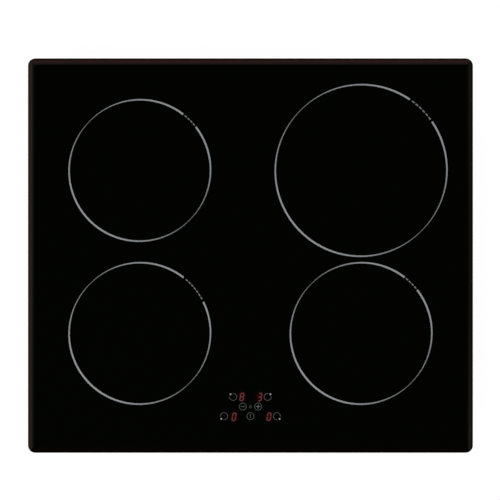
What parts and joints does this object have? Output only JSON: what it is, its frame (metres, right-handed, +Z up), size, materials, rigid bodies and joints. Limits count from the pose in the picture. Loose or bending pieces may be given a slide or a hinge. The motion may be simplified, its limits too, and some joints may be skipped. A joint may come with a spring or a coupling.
{
  "type": "induction hob",
  "caption": "Built-in induction hob: a black facetted glass plate with printed cooking zones and touch keys over a sheet-metal pan with sprung coils, fans and power boards.",
  "frame": {"origin": "under the middle of the glass plate, on the underside of the pan", "axes": "+X to the user's right along the longer side, +Y to the rear, +Z up out of the glass"},
  "size_m": [0.59, 0.523, 0.056],
  "materials": {
    "black_glass": "gloss",
    "print_grey": "satin",
    "seal_foam": "matte",
    "bond_silicone": "satin",
    "frame_steel": "satin",
    "pan_steel": "satin",
    "screw_steel": "satin",
    "spring_steel": "satin",
    "box_plastic": "satin",
    "terminal_plastic": "satin",
    "contact_brass": "satin",
    "tray_plastic": "satin",
    "board_laminate": "satin",
    "heatsink_aluminium": "satin",
    "device_epoxy": "satin",
    "capacitor_film": "gloss",
    "copper_wire": "satin",
    "plate_aluminium": "satin",
    "impeller_plastic": "satin",
    "motor_steel": "satin",
    "mica_sheet": "satin",
    "carrier_plastic": "satin",
    "ferrite": "matte",
    "sensor_silicone": "satin",
    "pad_foam": "matte"
  },
  "bodies": {
    "casing": {"glass_top": "black_glass", "glass_print": "print_grey", "rim_gasket": "seal_foam", "frame_bond": "bond_silicone", "glass_frame": "frame_steel", "base_pan": "pan_steel", "frame_screws": "screw_steel", "clip_screws": "screw_steel", "clip_feet": "spring_steel", "control_springs": "spring_steel", "coil_springs_rear_left": "spring_steel", "coil_springs_rear_right": "spring_steel", "coil_springs_front_left": "spring_steel", "coil_springs_front_right": "spring_steel", "terminal_box": "box_plastic", "cable_gland": "box_plastic", "gland_nut": "box_plastic", "terminal_block": "terminal_plastic", "terminal_contacts": "contact_brass", "board_trays": "tray_plastic", "fan_housing_left": "tray_plastic", "fan_housing_right": "tray_plastic", "control_support": "tray_plastic", "power_boards": "board_laminate", "heatsink_left": "heatsink_aluminium", "heatsink_right": "heatsink_aluminium", "power_devices": "device_epoxy", "board_capacitors": "capacitor_film", "board_chokes": "copper_wire", "coil_plate_left": "plate_aluminium", "coil_plate_right": "plate_aluminium", "fan_motors": "motor_steel", "glass_sensors": "sensor_silicone"},
    "fan_left": {"fan_impeller_left": "impeller_plastic"},
    "fan_right": {"fan_impeller_right": "impeller_plastic"},
    "coil_rear_left": {"coil_mica_rear_left": "mica_sheet", "coil_winding_rear_left": "copper_wire", "coil_carrier_rear_left": "carrier_plastic", "coil_ferrites_rear_left": "ferrite"},
    "coil_rear_right": {"coil_mica_rear_right": "mica_sheet", "coil_winding_rear_right": "copper_wire", "coil_carrier_rear_right": "carrier_plastic", "coil_ferrites_rear_right": "ferrite"},
    "coil_front_left": {"coil_mica_front_left": "mica_sheet", "coil_winding_front_left": "copper_wire", "coil_carrier_front_left": "carrier_plastic", "coil_ferrites_front_left": "ferrite"},
    "coil_front_right": {"coil_mica_front_right": "mica_sheet", "coil_winding_front_right": "copper_wire", "coil_carrier_front_right": "carrier_plastic", "coil_ferrites_front_right": "ferrite"},
    "touch_unit": {"control_holder": "tray_plastic", "control_board": "board_laminate", "digit_displays": "device_epoxy", "touch_pads": "pad_foam"},
    "clip_left_front": {"worktop_clip_left_front": "spring_steel"},
    "clip_left_rear": {"worktop_clip_left_rear": "spring_steel"},
    "clip_right_front": {"worktop_clip_right_front": "spring_steel"},
    "clip_right_rear": {"worktop_clip_right_rear": "spring_steel"},
    "terminal_lid": {"terminal_cover": "box_plastic"}
  },
  "joints": [
    {"name": "fan_left_spin", "type": "hinge", "parent": "casing", "child": "fan_left", "pos_m": [-0.15, 0.182, 0], "axis": [0, 0, 1], "continuous": true},
    {"name": "fan_right_spin", "type": "hinge", "parent": "casing", "child": "fan_right", "pos_m": [0.15, 0.182, 0], "axis": [0, 0, 1], "continuous": true},
    {"name": "coil_rear_left_press", "type": "slide", "parent": "casing", "child": "coil_rear_left", "axis": [0, 0, 1], "range_m": [-0.003, 0], "stiffness_N_per_m": 4000, "springref_m": 0.005, "deforming": ["coil_springs_rear_left"]},
    {"name": "coil_rear_right_press", "type": "slide", "parent": "casing", "child": "coil_rear_right", "axis": [0, 0, 1], "range_m": [-0.003, 0], "stiffness_N_per_m": 4000, "springref_m": 0.005, "deforming": ["coil_springs_rear_right"]},
    {"name": "coil_front_left_press", "type": "slide", "parent": "casing", "child": "coil_front_left", "axis": [0, 0, 1], "range_m": [-0.003, 0], "stiffness_N_per_m": 4000, "springref_m": 0.005, "deforming": ["coil_springs_front_left"]},
    {"name": "coil_front_right_press", "type": "slide", "parent": "casing", "child": "coil_front_right", "axis": [0, 0, 1], "range_m": [-0.003, 0], "stiffness_N_per_m": 4000, "springref_m": 0.005, "deforming": ["coil_springs_front_right"]},
    {"name": "touch_unit_press", "type": "slide", "parent": "casing", "child": "touch_unit", "axis": [0, 0, 1], "range_m": [-0.0015, 0], "stiffness_N_per_m": 1500, "springref_m": 0.003, "deforming": ["control_springs"]},
    {"name": "clip_left_front_flex", "type": "hinge", "parent": "casing", "child": "clip_left_front", "pos_m": [-0.2764, -0.15, 0.033], "axis": [0, -1, 0], "range_deg": [0, 13], "stiffness_Nm_per_rad": 0.3},
    {"name": "clip_left_rear_flex", "type": "hinge", "parent": "casing", "child": "clip_left_rear", "pos_m": [-0.2764, 0.15, 0.033], "axis": [0, -1, 0], "range_deg": [0, 13], "stiffness_Nm_per_rad": 0.3},
    {"name": "clip_right_front_flex", "type": "hinge", "parent": "casing", "child": "clip_right_front", "pos_m": [0.2764, -0.15, 0.033], "axis": [0, 1, 0], "range_deg": [0, 13], "stiffness_Nm_per_rad": 0.3},
    {"name": "clip_right_rear_flex", "type": "hinge", "parent": "casing", "child": "clip_right_rear", "pos_m": [0.2764, 0.15, 0.033], "axis": [0, 1, 0], "range_deg": [0, 13], "stiffness_Nm_per_rad": 0.3},
    {"name": "terminal_lid_hinge", "type": "hinge", "parent": "casing", "child": "terminal_lid", "pos_m": [0, 0.1821, 0.0038], "axis": [-1, 0, 0], "range_deg": [0, 100]}
  ]
}
